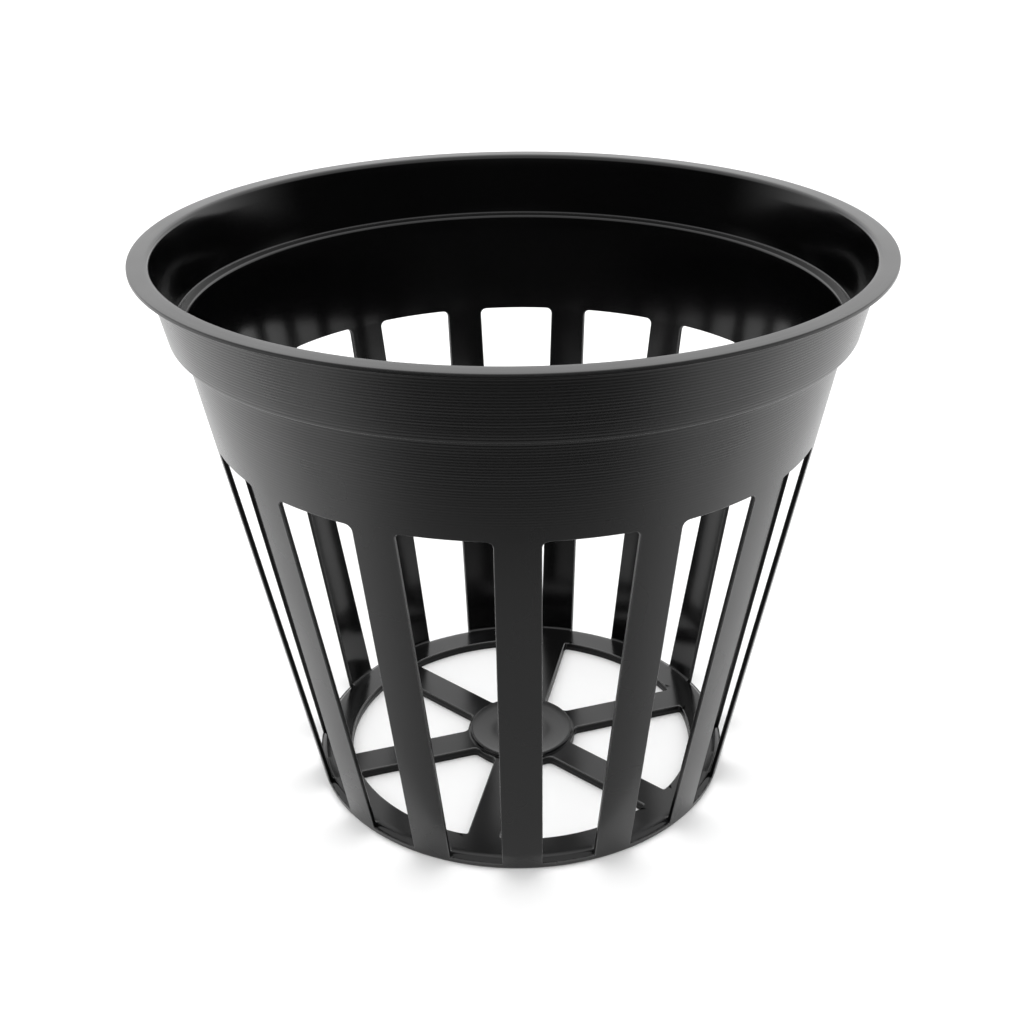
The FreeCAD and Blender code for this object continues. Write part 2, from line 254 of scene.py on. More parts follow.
def rounded_profile(
    corners: Sequence[Sequence[float]], rounds: Sequence[float], arc_steps: int,
    run_steps: Sequence[int],
) -> tuple[np.ndarray, np.ndarray]:
    """A chain of straight runs whose inner corners are arcs.

    Each arc touches both runs at the corner's radius over the tangent of half its angle, and its
    centre is on the line that halves the corner.

    Args:
        corners: Radius and height of each corner, from the first end to the last.
        rounds: Radius of the arc at each inner corner.
        arc_steps: Parts of each arc.
        run_steps: Parts of each straight run.

    Returns:
        The points, and for each point the number of the run that it starts or lies on.
    """
    chain = np.asarray(corners, float)
    ends = [(chain[0], chain[0])]
    arcs: list[np.ndarray] = []
    for corner, before, after, radius in zip(chain[1:-1], chain[:-2], chain[2:], rounds):
        back = (before - corner) / np.linalg.norm(before - corner)
        ahead = (after - corner) / np.linalg.norm(after - corner)
        half = math.acos(float(np.clip(back @ ahead, -1, 1))) / 2
        centre = corner + (back + ahead) / np.linalg.norm(back + ahead) * radius / math.sin(half)
        start, end = corner + back * radius / math.tan(half), corner + ahead * radius / math.tan(half)
        first = math.atan2(*(start - centre)[::-1])
        sweep = math.remainder(math.atan2(*(end - centre)[::-1]) - first, 2 * math.pi)
        angles = first + sweep * np.linspace(0, 1, arc_steps + 1)
        arcs.append(centre + radius * np.stack((np.cos(angles), np.sin(angles)), axis=-1))
        ends.append((start, end))
    ends.append((chain[-1], chain[-1]))
    points, run_of = [], []
    for run, steps in enumerate(run_steps):
        leave, reach = ends[run][1], ends[run + 1][0]
        part = leave + (reach - leave) * np.linspace(0, 1, steps + 1)[:, None]
        points.append(part[:-1])
        run_of += [run] * steps
        if run < len(arcs):
            points.append(arcs[run][:-1])
            run_of += [run] * (arc_steps // 2) + [run + 1] * (arc_steps - arc_steps // 2)
    points.append(chain[-1][None])
    run_of.append(len(run_steps) - 1)
    return np.concatenate(points), np.asarray(run_of)


def grid_quads(number: np.ndarray) -> np.ndarray:
    """The four corners of each face between the numbered rows and columns of a grid."""
    return np.stack((number[:-1, :-1], number[:-1, 1:], number[1:, 1:], number[1:, :-1]), axis=-1)


@dataclass
class Skin:
    """Grids of points that weld into one closed skin.

    Attributes:
        points: Points of each grid, as a flat list.
        quads: Corners of each grid's faces, as numbers of points.
        zones: Zone number of each face.
        lines: Rounded lines on which each point lies.
    """

    points: list[np.ndarray] = field(default_factory=list)
    quads: list[np.ndarray] = field(default_factory=list)
    zones: list[np.ndarray] = field(default_factory=list)
    lines: list[np.ndarray] = field(default_factory=list)
    total: int = 0

    def add(self, grid: np.ndarray, zone: Union[Zone, np.ndarray],
            lines: Union[Line, np.ndarray] = Line.NONE) -> None:
        """Adds one grid, or a stack of grids.

        Args:
            grid: Points with axes for rows, columns and x, y, z, after any stack axes.
            zone: Zone of the faces, or a zone number for each row of faces.
            lines: Rounded lines of each point, broadcast over rows and columns.
        """
        rows, columns = grid.shape[-3], grid.shape[-2]
        stack = grid.reshape(-1, rows, columns, 3)
        number = np.arange(rows * columns).reshape(rows, columns)
        quad = grid_quads(number)
        offset = self.total + rows * columns * np.arange(len(stack))
        quads = quad.reshape(1, -1, 4) + offset[:, None, None]
        kind = zone.value if isinstance(zone, Zone) else np.asarray(zone)[:, None]
        kinds = np.broadcast_to(kind, (rows - 1, columns - 1)).reshape(1, -1)
        marks = np.broadcast_to(np.asarray(lines, int), (rows, columns)).reshape(1, -1)
        self.points.append(stack.reshape(-1, 3))
        self.quads.append(quads.reshape(-1, 4))
        self.zones.append(np.repeat(kinds, len(stack), axis=0).ravel())
        self.lines.append(np.repeat(marks, len(stack), axis=0).ravel())
        self.total += stack.size // 3

    def welded(self) -> tuple[np.ndarray, np.ndarray, np.ndarray, np.ndarray]:
        """Joins points that lie together.

        Points whose coordinates round to the same weld steps become one, with the lines of all.

        Returns:
            Points, quads, zone numbers and the lines of each point.
        """
        points = np.concatenate(self.points)
        keys = np.round(points / WELD + 0.37).astype(np.int64)
        _, first, back = np.unique(keys, axis=0, return_index=True, return_inverse=True)
        back = back.reshape(-1)
        lines = np.zeros(len(first), int)
        np.bitwise_or.at(lines, back, np.concatenate(self.lines))
        return points[first], back[np.concatenate(self.quads)], np.concatenate(self.zones), lines

    def to_mesh(self, name: str, weights: dict[Line, float]) -> bpy.types.Mesh:
        """Makes the mesh, in metres, with its faces outwards.

        A corner that is the same point as the next is dropped, so the quads at a pole become
        triangles. An edge between two points of one rounded line gets that line's weight.

        Args:
            name: Name of the mesh.
            weights: Bevel weight of each rounded line.

        Returns:
            The mesh.
        """
        points, quads, zones, lines = self.welded()
        keep = quads != np.roll(quads, -1, axis=1)
        whole = keep.sum(axis=1) > 2
        quads, keep, zones = quads[whole], keep[whole], zones[whole]
        mesh = bpy.data.meshes.new(name)
        mesh.vertices.add(len(points))
        mesh.vertices.foreach_set("co", (points * MM).astype(np.float32).ravel())
        mesh.loops.add(int(keep.sum()))
        mesh.loops.foreach_set("vertex_index", quads[keep].astype(np.int32))
        mesh.polygons.add(len(quads))
        starts = np.concatenate(([0], np.cumsum(keep.sum(axis=1))[:-1]))
        mesh.polygons.foreach_set("loop_start", starts.astype(np.int32))
        mesh.polygons.foreach_set("material_index", zones.astype(np.int32))
        mesh.update(calc_edges=True)
        shell = bmesh.new()
        shell.from_mesh(mesh)
        bmesh.ops.recalc_face_normals(shell, faces=shell.faces)
        shell.to_mesh(mesh)
        shell.free()
        edges = np.zeros(len(mesh.edges) * 2, np.int32)
        mesh.edges.foreach_get("vertices", edges)
        shared = lines[edges[::2]] & lines[edges[1::2]]
        weight = np.zeros(len(mesh.edges), np.float32)
        for line, value in weights.items():
            weight[(shared & int(line)) > 0] = value
        mesh.attributes.new("bevel_weight_edge", "FLOAT", "EDGE").data.foreach_set("value", weight)
        mesh.shade_smooth()
        mesh.set_sharp_from_angle(angle=math.radians(SHARP))
        sides = np.zeros(len(mesh.loops), np.int32)
        mesh.loops.foreach_get("edge_index", sides)
        unclosed = int((np.bincount(sides, minlength=len(mesh.edges)) != 2).sum())
        LOG.info("%s: %d points, %d faces, %d edges not closed",
                 name, len(points), len(quads), unclosed)
        return mesh


# The pot's sub-assemblies --------------------------------------------------------------------


@dataclass(frozen=True)
class Columns:
    """How the grid's columns lie round the pot.

    Attributes:
        sizes: The pot's sizes.
        bar_steps: Columns across a bar.
        slot_steps: Columns across a slot.
        spoke_steps: Columns across a spoke's end.
        hub_steps: Columns across a window at the hub.
        wall_steps: Parts of the wall's thickness.
    """

    sizes: PotSizes
    bar_steps: int = 8
    slot_steps: int = 16
    spoke_steps: int = 8
    hub_steps: int = 12
    wall_steps: int = 2

    @property
    def total(self) -> int:
        """Columns in a full turn."""
        return self.sizes.bar_count * (self.bar_steps + self.slot_steps)

    @property
    def window_steps(self) -> int:
        """Columns across a window at the ring."""
        return self.total // self.sizes.spoke_count - self.spoke_steps

    def across_bar(self, half_slot: np.ndarray) -> np.ndarray:
        """Azimuths across the bars: evenly over what the slots leave of each pitch.

        Args:
            half_slot: Half the angle of a slot, for each row.

        Returns:
            Azimuths with axes for bars, rows and columns.
        """
        half_bar = self.sizes.bar_pitch / 2 - np.asarray(half_slot)[None, :, None]
        middle = self.sizes.bar_pitch * np.arange(self.sizes.bar_count)[:, None, None]
        return middle + half_bar * np.linspace(-1, 1, self.bar_steps + 1)

    def across_slot(self, half_slot: np.ndarray) -> np.ndarray:
        """Azimuths across the slots: evenly over each slot's angle.

        Args:
            half_slot: Half the angle of a slot, for each row.

        Returns:
            Azimuths with axes for slots, rows and columns.
        """
        middle = self.sizes.bar_pitch * (0.5 + np.arange(self.sizes.bar_count))[:, None, None]
        return middle + np.asarray(half_slot)[None, :, None] * np.linspace(-1, 1, self.slot_steps + 1)

    def by_bars(self, half_slot: np.ndarray) -> np.ndarray:
        """Azimuths of a full turn, bars and slots in turn, from the first bar's first side.

        Args:
            half_slot: Half the angle of a slot, for each row.

        Returns:
            Azimuths with axes for rows and columns.
        """
        module, step = np.divmod(np.arange(self.total + 1), self.bar_steps + self.slot_steps)
        half_slot = np.asarray(half_slot)[:, None]
        half_bar = self.sizes.bar_pitch / 2 - half_slot
        on_bar = half_bar * (2 * step / self.bar_steps - 1)
        on_slot = half_bar + half_slot * 2 * (step - self.bar_steps) / self.slot_steps
        return module * self.sizes.bar_pitch + np.where(step <= self.bar_steps, on_bar, on_slot)

    def on_slot(self) -> np.ndarray:
        """Whether each column of a full turn touches a slot."""
        step = np.arange(self.total + 1) % (self.bar_steps + self.slot_steps)
        return (step >= self.bar_steps) | (step == 0)

    def by_spokes(self, half_spoke: float) -> np.ndarray:
        """The same columns, moved so that spokes and windows divide them.

        Args:
            half_spoke: Half the angle of a spoke's end.

        Returns:
            Azimuths of one row.
        """
        lead = round(math.radians(self.sizes.spoke_turn) / (2 * math.pi) * self.total)
        lead += (self.spoke_steps - self.bar_steps) // 2
        return self._spoke_layout(half_spoke, self.window_steps, lead)

    def by_hub(self, half_spoke: float) -> np.ndarray:
        """Azimuths of a full turn at the hub, where fewer columns divide each window.

        Args:
            half_spoke: Half the angle of a spoke's end at the hub.

        Returns:
            Azimuths of one row.
        """
        return self._spoke_layout(half_spoke, self.hub_steps, 0)

    def _spoke_layout(self, half_spoke: float, window_steps: int, lead: int) -> np.ndarray:
        """Azimuths of a full turn, spokes and windows in turn.

        Args:
            half_spoke: Half the angle of a spoke's end.
            window_steps: Columns across a window.
            lead: Columns by which the turn starts late.

        Returns:
            Azimuths of one row.
        """
        per_module = self.spoke_steps + window_steps
        count = self.sizes.spoke_count * per_module
        module, step = np.divmod(np.arange(count + 1) + lead, per_module)
        on_spoke = half_spoke * (2 * step / self.spoke_steps - 1)
        half_window = self.sizes.spoke_pitch / 2 - half_spoke
        on_window = half_spoke + half_window * 2 * (step - self.spoke_steps) / window_steps
        turn = module * self.sizes.spoke_pitch - math.radians(self.sizes.spoke_turn)
        return turn + np.where(step <= self.spoke_steps, on_spoke, on_window)


@dataclass(frozen=True)
class SlotOutline:
    """The outline of a slot: two sides that open upwards, and a head with round corners.

    Attributes:
        sizes: The pot's sizes.
        corner_steps: Parts of each round corner.
    """

    sizes: PotSizes
    corner_steps: int = 7

    def side(self, height: Union[float, np.ndarray]) -> Union[float, np.ndarray]:
        """Half width on the straight sides, in a line from the sill's value to the head's."""
        low, high = (self._half_width(z) for z in (self.sizes.slot_sill, self.sizes.slot_head))
        rise = (height - self.sizes.slot_sill) / (self.sizes.slot_head - self.sizes.slot_sill)
        return low + (high - low) * rise

    def _half_width(self, height: float) -> float:
        """Half a slot where the bars have their width: the radius by the sine of what they leave."""
        radius = self.sizes.wall_outside(height)
        bar = math.asin(self.sizes.bar_width / 2 / radius)
        return radius * math.sin(self.sizes.bar_pitch / 2 - bar)

    @property
    def lean(self) -> float:
        """Angle of the slot's side from upright."""
        return math.atan(float(self.side(1.0) - self.side(0.0)))

    @property
    def corner_height(self) -> float:
        """Height of the middle of the round corners."""
        return self.sizes.slot_head - self.sizes.slot_round

    @property
    def flat_half(self) -> float:
        """Half the straight part of the head: the side's line less the corner's reach."""
        return float(self.side(self.corner_height)) - self.sizes.slot_round / math.cos(self.lean)

    def corner_heights(self) -> np.ndarray:
        """Heights of the rows in the round corners: even angles from the side to the head."""
        angle = np.linspace(-self.lean, math.pi / 2, self.corner_steps + 1)
        return self.corner_height + self.sizes.slot_round * np.sin(angle)

    def half(self, height: np.ndarray) -> np.ndarray:
        """Half width at any height: the straight side, then the corner's circle above it.

        Args:
            height: Heights from the sill to the head.

        Returns:
            Half widths.
        """
        above = np.asarray(height, float) - self.corner_height
        reach = np.sqrt(np.maximum(self.sizes.slot_round**2 - above**2, 0))
        touch = -self.sizes.slot_round * math.sin(self.lean)
        straight = self.side(np.asarray(height, float))
        return np.where(above <= touch + 1e-9, straight, self.flat_half + reach)

    def angle(self, radius: np.ndarray, height: np.ndarray) -> np.ndarray:
        """Half the slot's angle seen from the axis: the arcsine of half width over radius."""
        return np.arcsin(self.half(height) / radius)


@dataclass(frozen=True)
class UpperBody:
    """Band, step, collar, rim, mouth and ledge: everything above the slots, turned about the axis.

    Attributes:
        sizes: The pot's sizes.
        columns: The grid's columns.
        slot: Outline of the slots.
        hollow_round: Rounding of the hollow corners under the step and the rim.
        step_round: Rounding of the collar's lower edge.
        rim_foot_round: Rounding of the rim's lower edge.
        rim_round: Rounding of the rim's upper edge.
        ledge_hollow: Rounding where the collar's inside meets the ledge.
        ledge_round: Rounding of the ledge's inner edge.
    """

    sizes: PotSizes
    columns: Columns
    slot: SlotOutline
    hollow_round: float = 0.25
    step_round: float = 0.4
    rim_foot_round: float = 0.12
    rim_round: float = 0.16
    ledge_hollow: float = 0.3
    ledge_round: float = 0.55

    def profile(self) -> tuple[np.ndarray, np.ndarray]:
        """The section from the slots' outer head up, over the rim and down to the inner head.

        Returns:
            The points, and the number of each point's run.
        """
        s = self.sizes
        corners = (
            (s.wall_outside(s.slot_head), s.slot_head),
            (s.wall_top, s.step_height),
            (s.collar_foot, s.step_height),
            (s.collar_top, s.rim_under),
            (s.rim_radius, s.rim_under),
            (s.rim_radius, s.pot_height),
            (s.collar_inside(s.pot_height), s.pot_height),
            (s.collar_inside(s.ledge_height), s.ledge_height),
            (s.wall_inside(s.ledge_height), s.ledge_height),
            (s.wall_inside(s.slot_head), s.slot_head),
        )
        rounds = (self.hollow_round, self.step_round, self.hollow_round, self.rim_foot_round,
                  self.rim_round, s.mouth_round, self.ledge_hollow, self.ledge_round)
        return rounded_profile(corners, rounds, 6, (6, 2, 5, 2, 1, 3, 5, 2, 6))

    def build(self, skin: Skin) -> None:
        """Turns the section, with the slots' angle going evenly from the outer to the inner head.
        """
        s = self.sizes
        chain, run_of = self.profile()
        radius, height = chain[:, 0], chain[:, 1]
        heads = [self.slot.angle(radius[end], np.asarray(s.slot_head)) for end in (0, -1)]
        half_slot = np.linspace(float(heads[0]), float(heads[1]), len(chain))
        azimuth = self.columns.by_bars(half_slot)
        zone_of_run = np.repeat([Zone.OUTSIDE.value, Zone.RIM.value, Zone.INSIDE.value], 3)
        marks = np.full((len(chain), self.columns.total + 1), int(Line.NONE))
        on_slot = self.columns.on_slot()
        marks[0, on_slot] = int(Line.SLOT_OUTER)
        marks[-1, on_slot] = int(Line.SLOT_INNER)
        skin.add(turned(radius[:, None], height[:, None], azimuth), zone_of_run[run_of[:-1]], marks)


@dataclass(frozen=True)
class Basket:
    """The wall of bars: their faces, the slots' sides and heads, and the slots' sills.

    Attributes:
        sizes: The pot's sizes.
        columns: The grid's columns.
        slot: Outline of the slots.
        tall_steps: Rows over the straight height of a bar.
        foot_steps: Parts of the rounding at a bar's foot.
        toe_steps: Parts of the slope at the floor's edge.
        toe_run: How far the slope reaches out past the floor's edge, onto the sill.
    """

    sizes: PotSizes
    columns: Columns
    slot: SlotOutline
    tall_steps: int = 16
    foot_steps: int = 4
    toe_steps: int = 6
    toe_run: float = 0.4

    def foot(self) -> np.ndarray:
        """Radius and height along the rounding at a bar's foot, from the floor up."""
        s = self.sizes
        chain, _ = rounded_profile(
            ((s.floor_radius - 2 * s.foot_round, s.floor_thick), (s.floor_radius, s.floor_thick),
             (s.wall_inside(s.floor_thick + 5), s.floor_thick + 5)),
            (s.foot_round,), self.foot_steps, (1, 1))
        return chain[1:-1]

    def toe(self) -> np.ndarray:
        """Radius and height over the floor's worn edge in a slot, from inside the sill to the floor.

        The edge is a soft slope that leaves the floor where the foot's rounding starts. It follows
        half a wave of the cosine.
        """
        s = self.sizes
        share = np.linspace(0, 1, self.toe_steps + 1)
        low = s.floor_radius + self.toe_run
        radius = low + (self.foot()[0, 0] - low) * share
        rise = (1 - np.cos(math.pi * (0.25 + 0.75 * share))) / 2
        rise = (rise - rise[0]) / (rise[-1] - rise[0])
        return np.stack((radius, s.slot_sill + (s.floor_thick - s.slot_sill) * rise), axis=-1)

    def chain(self) -> tuple[np.ndarray, np.ndarray]:
        """The two edges of a slot's side, row by row from the sill up.

        The inner edge climbs the toe, goes on along the foot's rounding, and then up the wall.
        The outer edge goes straight up the wall's outer face.

        Returns:
            Radius and height of the inner edge, and of the outer edge.
        """
        s = self.sizes
        toe, foot = self.toe(), self.foot()
        tall = np.linspace(foot[-1, 1], self.slot.corner_heights()[0], self.tall_steps + 1)[1:]
        height = np.concatenate((tall, self.slot.corner_heights()[1:]))
        inner = np.concatenate((toe, foot[1:], np.stack((s.wall_inside(height), height), axis=-1)))
        beside_toe = np.linspace(s.slot_sill, s.floor_thick, len(toe))
        outer_height = np.concatenate((beside_toe, inner[len(toe):, 1]))
        return inner, np.stack((s.wall_outside(outer_height), outer_height), axis=-1)

    def build(self, skin: Skin) -> None:
        """Adds the faces of all bars and slots."""
        inner, outer = self.chain()
        self._faces(skin, outer, Zone.OUTSIDE, Line.SLOT_OUTER)
        self._faces(skin, inner[len(self.toe()) - 1:], Zone.INSIDE, Line.SLOT_INNER)
        self._sides(skin, inner, outer)
        self._heads(skin)
        self._sills(skin)

    def _faces(self, skin: Skin, edge: np.ndarray, zone: Zone, line: Line) -> None:
        """The outer or inner faces of the bars, between the slots' outlines.

        Args:
            skin: The skin that gets the grids.
            edge: Radius and height of each row.
            zone: Zone of the faces.
            line: Rounded line along both sides.
        """
        radius, height = edge[:, 0], edge[:, 1]
        azimuth = self.columns.across_bar(self.slot.angle(radius, height))
        marks = np.zeros((len(edge), self.columns.bar_steps + 1), int)
        marks[:, 0] = marks[:, -1] = int(line)
        skin.add(turned(radius[:, None], height[:, None], azimuth), zone, marks)

    def _sides(self, skin: Skin, inner: np.ndarray, outer: np.ndarray) -> None:
        """The sides of the slots, evenly across the wall between the two edges.

        Args:
            skin: The skin that gets the grids.
            inner: Radius and height of the inner edge.
            outer: Radius and height of the outer edge.
        """
        share = np.linspace(0, 1, self.columns.wall_steps + 1)[:, None]
        across = outer[:, None] + (inner - outer)[:, None] * share
        radius, height = across[..., 0], across[..., 1]
        half = self.slot.angle(radius, height)
        middle = self.sizes.bar_pitch * (0.5 + np.arange(self.sizes.bar_count))[:, None, None]
        for sense in (-1, 1):
            skin.add(turned(radius, height, middle + sense * half), Zone.CUT)

    def _heads(self, skin: Skin) -> None:
        """The level heads of the slots, across the wall."""
        s = self.sizes
        radius = np.linspace(
            s.wall_outside(s.slot_head), s.wall_inside(s.slot_head), self.columns.wall_steps + 1)
        azimuth = self.columns.across_slot(self.slot.angle(radius, np.full(len(radius), s.slot_head)))
        skin.add(turned(radius[:, None], np.asarray(s.slot_head), azimuth), Zone.CUT)

    def _sills(self, skin: Skin) -> None:
        """Each slot's level sill, and the floor's edge that climbs behind it."""
        s = self.sizes
        toe = self.toe()
        sill = np.linspace(s.wall_outside(s.slot_sill), toe[0, 0], self.columns.wall_steps + 1)
        toe = toe[1:]
        radius = np.concatenate((sill, toe[:, 0]))
        height = np.concatenate((np.full(len(sill), s.slot_sill), toe[:, 1]))
        azimuth = self.columns.across_slot(self.slot.angle(radius, height))
        marks = np.zeros((len(radius), 1), int)
        marks[0] = int(Line.SLOT_OUTER)
        skin.add(turned(radius[:, None], height[:, None], azimuth), Zone.FLOOR, marks)


@dataclass(frozen=True)
class FloorPlate:
    """The foot of the wall, the floor ring, the spokes, the windows and the dished hub.

    Attributes:
        sizes: The pot's sizes.
        columns: The grid's columns.
        slot: Outline of the slots.
        foot_start: Radius of the ring's top outside, where the bars' rounding ends.
        base_round: Rounding of the outer base edge.
        ridge: How far the parting line in the windows stands out.
        ridge_heights: Heights where the parting line starts, stands out and falls off.
        ridge_shares: Share of the ridge at each of those heights.
        disc_round: Rounding of the disc's edge.
        lip_round: Rounding from the lip into the dish.
        corner_steps: Parts of each window corner.
        spoke_length_steps: Rows along a spoke's straight part.
        ring_steps: Rows across the ring.
    """

    sizes: PotSizes
    columns: Columns
    slot: SlotOutline
    foot_start: float
    base_round: float = 0.4
    ridge: float = 0.07
    ridge_heights: tuple[float, ...] = (0.92, 0.82, 0.76)
    ridge_shares: tuple[float, ...] = (0.25, 1.0, 0.85)
    disc_round: float = 0.2
    lip_round: float = 0.35
    corner_steps: int = 7
    spoke_length_steps: int = 10
    ring_steps: int = 5

    def _corner(self, circle: float, radius: float, inward: int) -> tuple[float, float, float]:
        """Where a window's corner arc lies beside a spoke.

        Its middle is the arc's radius off the spoke's side and off the circle.

        Args:
            circle: Radius of the circle that it touches.
            radius: Radius of the arc.
            inward: 1 where the arc is inside the circle, -1 where it is outside.

        Returns:
            How far along and across the spoke its middle is, and the angle of its touching point.
        """
        across = self.sizes.spoke_width / 2 + radius
        along = math.sqrt((circle - inward * radius) ** 2 - across**2)
        return along, across, math.atan2(across, along)

    def ring_angle(self) -> float:
        """Half the angle of a spoke's end at the ring."""
        return self._corner(self.sizes.ring_bore, self.sizes.window_ring_round, 1)[2]

    def hub_angle(self) -> float:
        """Half the angle of a spoke's end at the hub."""
        return self._corner(self.sizes.hub_radius, self.sizes.window_hub_round, -1)[2]

    def spoke_side(self) -> np.ndarray:
        """One side of a spoke, from the ring to the hub: an arc, a straight run and an arc.

        Returns:
            Distance along and across the spoke of each point.
        """
        s = self.sizes
        at_ring, ring_across, ring_angle = self._corner(s.ring_bore, s.window_ring_round, 1)
        at_hub, hub_across, hub_angle = self._corner(s.hub_radius, s.window_hub_round, -1)
        first = np.linspace(ring_angle, -math.pi / 2, self.corner_steps + 1)
        last = np.linspace(-math.pi / 2, hub_angle - math.pi, self.corner_steps + 1)
        run = np.linspace(at_ring, at_hub, self.spoke_length_steps + 1)[1:-1]
        return np.concatenate((
            np.stack((at_ring + s.window_ring_round * np.cos(first),
                      ring_across + s.window_ring_round * np.sin(first)), axis=-1),
            np.stack((run, np.full(len(run), s.spoke_width / 2)), axis=-1),
            np.stack((at_hub + s.window_hub_round * np.cos(last),
                      hub_across + s.window_hub_round * np.sin(last)), axis=-1),
        ))

    def _turn(self, along: np.ndarray, across: np.ndarray, height: float) -> np.ndarray:
        """Lays a spoke's own coordinates out at each spoke.

        Args:
            along: Distances from the axis along the spoke.
            across: Distances to the spoke's left.
            height: Height of all points.

        Returns:
            Points with a first axis for the spokes.
        """
        first = math.radians(self.sizes.spoke_turn)
        turn = np.arange(self.sizes.spoke_count) * self.sizes.spoke_pitch - first
        turn = turn.reshape((-1,) + (1,) * np.ndim(along))
        x = along * np.sin(turn) + across * np.cos(turn)
        y = across * np.sin(turn) - along * np.cos(turn)
        return np.stack((x, y, np.full(x.shape, height)), axis=-1)

    def _spokes(self, skin: Skin, height: float, zone: Zone, line: Line) -> None:
        """The upper or lower faces of the spokes.

        Each row spans the spoke between its two sides. Near the ring and the hub the rows bulge
        by the circle's height over its chord, so that the first and last row lie on the circles.

        Args:
            skin: The skin that gets the grids.
            height: Height of the faces.
            zone: Zone of the faces.
            line: Rounded line along both sides.
        """
        s = self.sizes
        side = self.spoke_side()
        along, across = side[:, :1], side[:, 1:]
        share = np.linspace(0, 1, len(side))[:, None]
        unit = np.linspace(-1, 1, self.columns.spoke_steps + 1)[None, :]
        ring, hub = self.ring_angle(), self.hub_angle()
        spread = (1 - share) * np.sin(ring * unit) / math.sin(ring)
        spread = spread + share * np.sin(hub * unit) / math.sin(hub)
        at_ring, at_hub = side[self.corner_steps, 0], side[-self.corner_steps - 1, 0]
        near_ring = np.clip((along - at_ring) / (along[0] - at_ring), 0, 1)
        near_hub = np.clip((at_hub - along) / (at_hub - along[-1]), 0, 1)
        bulge = near_ring * s.ring_bore * (np.cos(ring * unit) - math.cos(ring))
        bulge = bulge + near_hub * s.hub_radius * (np.cos(hub * unit) - math.cos(hub))
        marks = np.zeros((len(side), self.columns.spoke_steps + 1), int)
        marks[:, 0] = marks[:, -1] = int(line)
        skin.add(self._turn(along + bulge, across * spread, height), zone, marks)

    def _windows(self, skin: Skin) -> None:
        """The walls of the windows, round each closed outline, with a fine ridge at mid height.

        The outline goes in along one spoke, round the hub, out along the next spoke and back
        round the ring. The ridge follows the outline's own normal into the window.
        """
        s = self.sizes
        side = self.spoke_side()
        first = self._turn(side[:, 0], side[:, 1], 0.0)
        turn = np.arange(s.spoke_count)[:, None] * s.spoke_pitch - math.radians(s.spoke_turn)
        at_hub, at_ring = self.hub_angle(), self.ring_angle()
        hub = turn + np.linspace(at_hub, s.spoke_pitch - at_hub, self.columns.hub_steps + 1)
        second = np.roll(self._turn(side[::-1, 0], -side[::-1, 1], 0.0), -1, axis=0)
        ring = turn + np.linspace(s.spoke_pitch - at_ring, at_ring, self.columns.window_steps + 1)
        loop = np.concatenate((
            first[:, :-1], turned(np.asarray(s.hub_radius), np.asarray(0.0), hub)[:, :-1],
            second[:, :-1], turned(np.asarray(s.ring_bore), np.asarray(0.0), ring)[:, :-1]), axis=1)
        along = np.roll(loop, -1, axis=1) - np.roll(loop, 1, axis=1)
        along /= np.linalg.norm(along, axis=-1, keepdims=True)
        normal = np.stack((along[..., 1], -along[..., 0], np.zeros(along.shape[:2])), axis=-1)
        middle = loop.mean(axis=1, keepdims=True)
        normal *= np.sign((normal * (middle - loop)).sum(axis=(1, 2)))[:, None, None]
        heights = np.asarray((s.floor_thick, *self.ridge_heights, 0.0))
        proud = np.asarray((0.0, *self.ridge_shares, 0.0)) * self.ridge
        wall = loop[:, None] + normal[:, None] * proud[:, None, None]
        wall[..., 2] = heights[:, None]
        wall = np.concatenate((wall, wall[:, :, :1]), axis=2)
        marks = np.zeros((len(heights), 1), int)
        marks[0], marks[-1] = int(Line.WINDOW_TOP), int(Line.WINDOW_FOOT)
        skin.add(wall, Zone.CUT, marks)

    def _ring(self, skin: Skin, start: float, half_slot: float, height: float,
              zone: Zone, line: Line) -> None:
        """A face of the floor ring, whose columns go from the bars' layout to the spokes'.

        Args:
            skin: The skin that gets the grid.
            start: Outer radius.
            half_slot: Half the angle of a slot at that radius.
            height: Height of the face.
            zone: Zone of the face.
            line: Rounded line along the windows.
        """
        share = np.linspace(0, 1, self.ring_steps + 1)[:, None]
        radius = start + (self.sizes.ring_bore - start) * share
        azimuth = (1 - share) * self.columns.by_bars(np.asarray([half_slot])) \
            + share * self.columns.by_spokes(self.ring_angle())[None, :]
        marks = np.zeros((self.ring_steps + 1, self.columns.total + 1), int)
        half_count = self.sizes.spoke_count / 2
        round_spokes = self.columns.by_spokes(self.ring_angle()) + math.radians(self.sizes.spoke_turn)
        windows = np.abs(np.sin(round_spokes * half_count)) \
            >= math.sin(self.ring_angle() * half_count) - 1e-6
        marks[-1, windows] = int(line)
        skin.add(turned(radius, np.asarray(height), azimuth), zone, marks)

